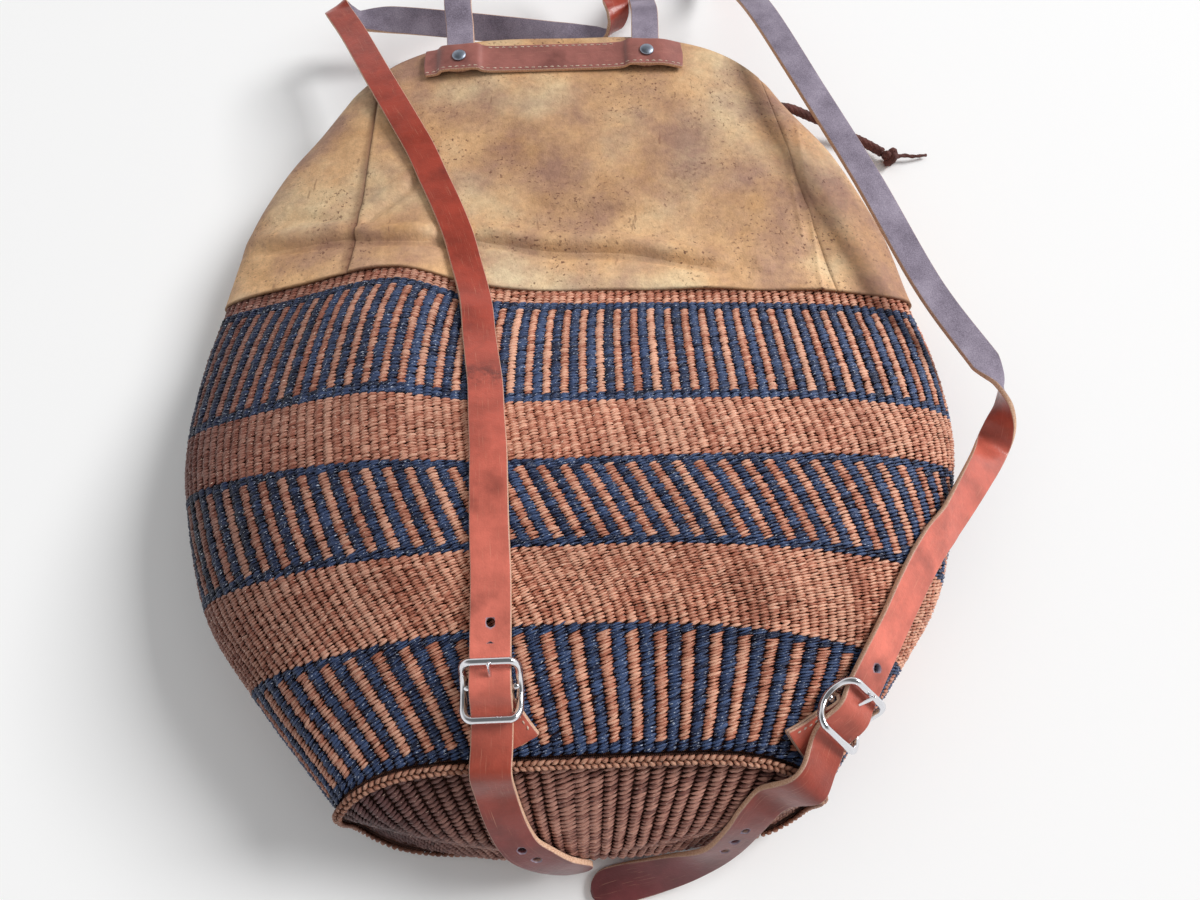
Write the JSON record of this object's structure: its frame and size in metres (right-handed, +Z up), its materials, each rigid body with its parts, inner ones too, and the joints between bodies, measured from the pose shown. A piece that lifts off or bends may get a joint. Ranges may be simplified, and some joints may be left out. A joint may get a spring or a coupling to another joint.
{
  "type": "sisal backpack",
  "caption": "Round woven sisal sack with a soft hide collar gathered by a drawstring, carried by buckled leather shoulder straps riveted under a yoke strip.",
  "frame": {"origin": "on the flat underside of the sack as it lies on its front, below the middle of the belly", "axes": "+X across the sack to the viewer's right, +Y from the base to the mouth, +Z up, from the front that lies on the ground to the strap side"},
  "size_m": [0.496, 0.7082, 0.1193],
  "materials": {
    "sisal": "woven",
    "twine": "twisted",
    "hide": "matte mottled",
    "leather": "satin",
    "yoke_leather": "worn satin",
    "cord": "braided",
    "nickel": "polished",
    "steel": "dull"
  },
  "bodies": {
    "bag": {"basket_wall": "sisal", "basket_base": "sisal", "base_rim_twine": "twine", "collar_back_panel": "hide", "collar_left_panel": "hide", "collar_front_panel": "hide", "collar_right_panel": "hide", "mouth_hem": "hide", "drawstring_hem_run": "cord", "drawstring_free_end": "cord", "drawstring_knot": "cord", "drawstring_tip": "cord", "yoke_strip": "yoke_leather", "left_rivet": "steel", "left_rivet_burr": "steel", "right_rivet": "steel", "right_rivet_burr": "steel", "left_shoulder_strap": "leather", "right_shoulder_strap": "leather", "left_anchor_tab": "leather", "right_anchor_tab": "leather"},
    "left_buckle": {"left_buckle_frame": "nickel"},
    "left_prong": {"left_buckle_prong": "nickel"},
    "right_buckle": {"right_buckle_frame": "nickel"},
    "right_prong": {"right_buckle_prong": "nickel"}
  },
  "joints": [
    {"name": "left_buckle_rock", "type": "hinge", "parent": "bag", "child": "left_buckle", "pos_m": [-0.03807, -0.1152, 0.10318], "axis": [-0.9999, 0, -0.0168], "range_deg": [-4, 4]},
    {"name": "left_prong_lift", "type": "hinge", "parent": "left_buckle", "child": "left_prong", "pos_m": [-0.03807, -0.1152, 0.10318], "axis": [0.9999, 0, 0.0168], "range_deg": [0, 10]},
    {"name": "right_buckle_rock", "type": "hinge", "parent": "bag", "child": "right_buckle", "pos_m": [0.12401, -0.12939, 0.0852], "axis": [-0.6718, 0.5039, 0.5429], "range_deg": [-4, 4]},
    {"name": "right_prong_lift", "type": "hinge", "parent": "right_buckle", "child": "right_prong", "pos_m": [0.12401, -0.12939, 0.0852], "axis": [0.6718, -0.5039, -0.5429], "range_deg": [0, 10]}
  ]
}
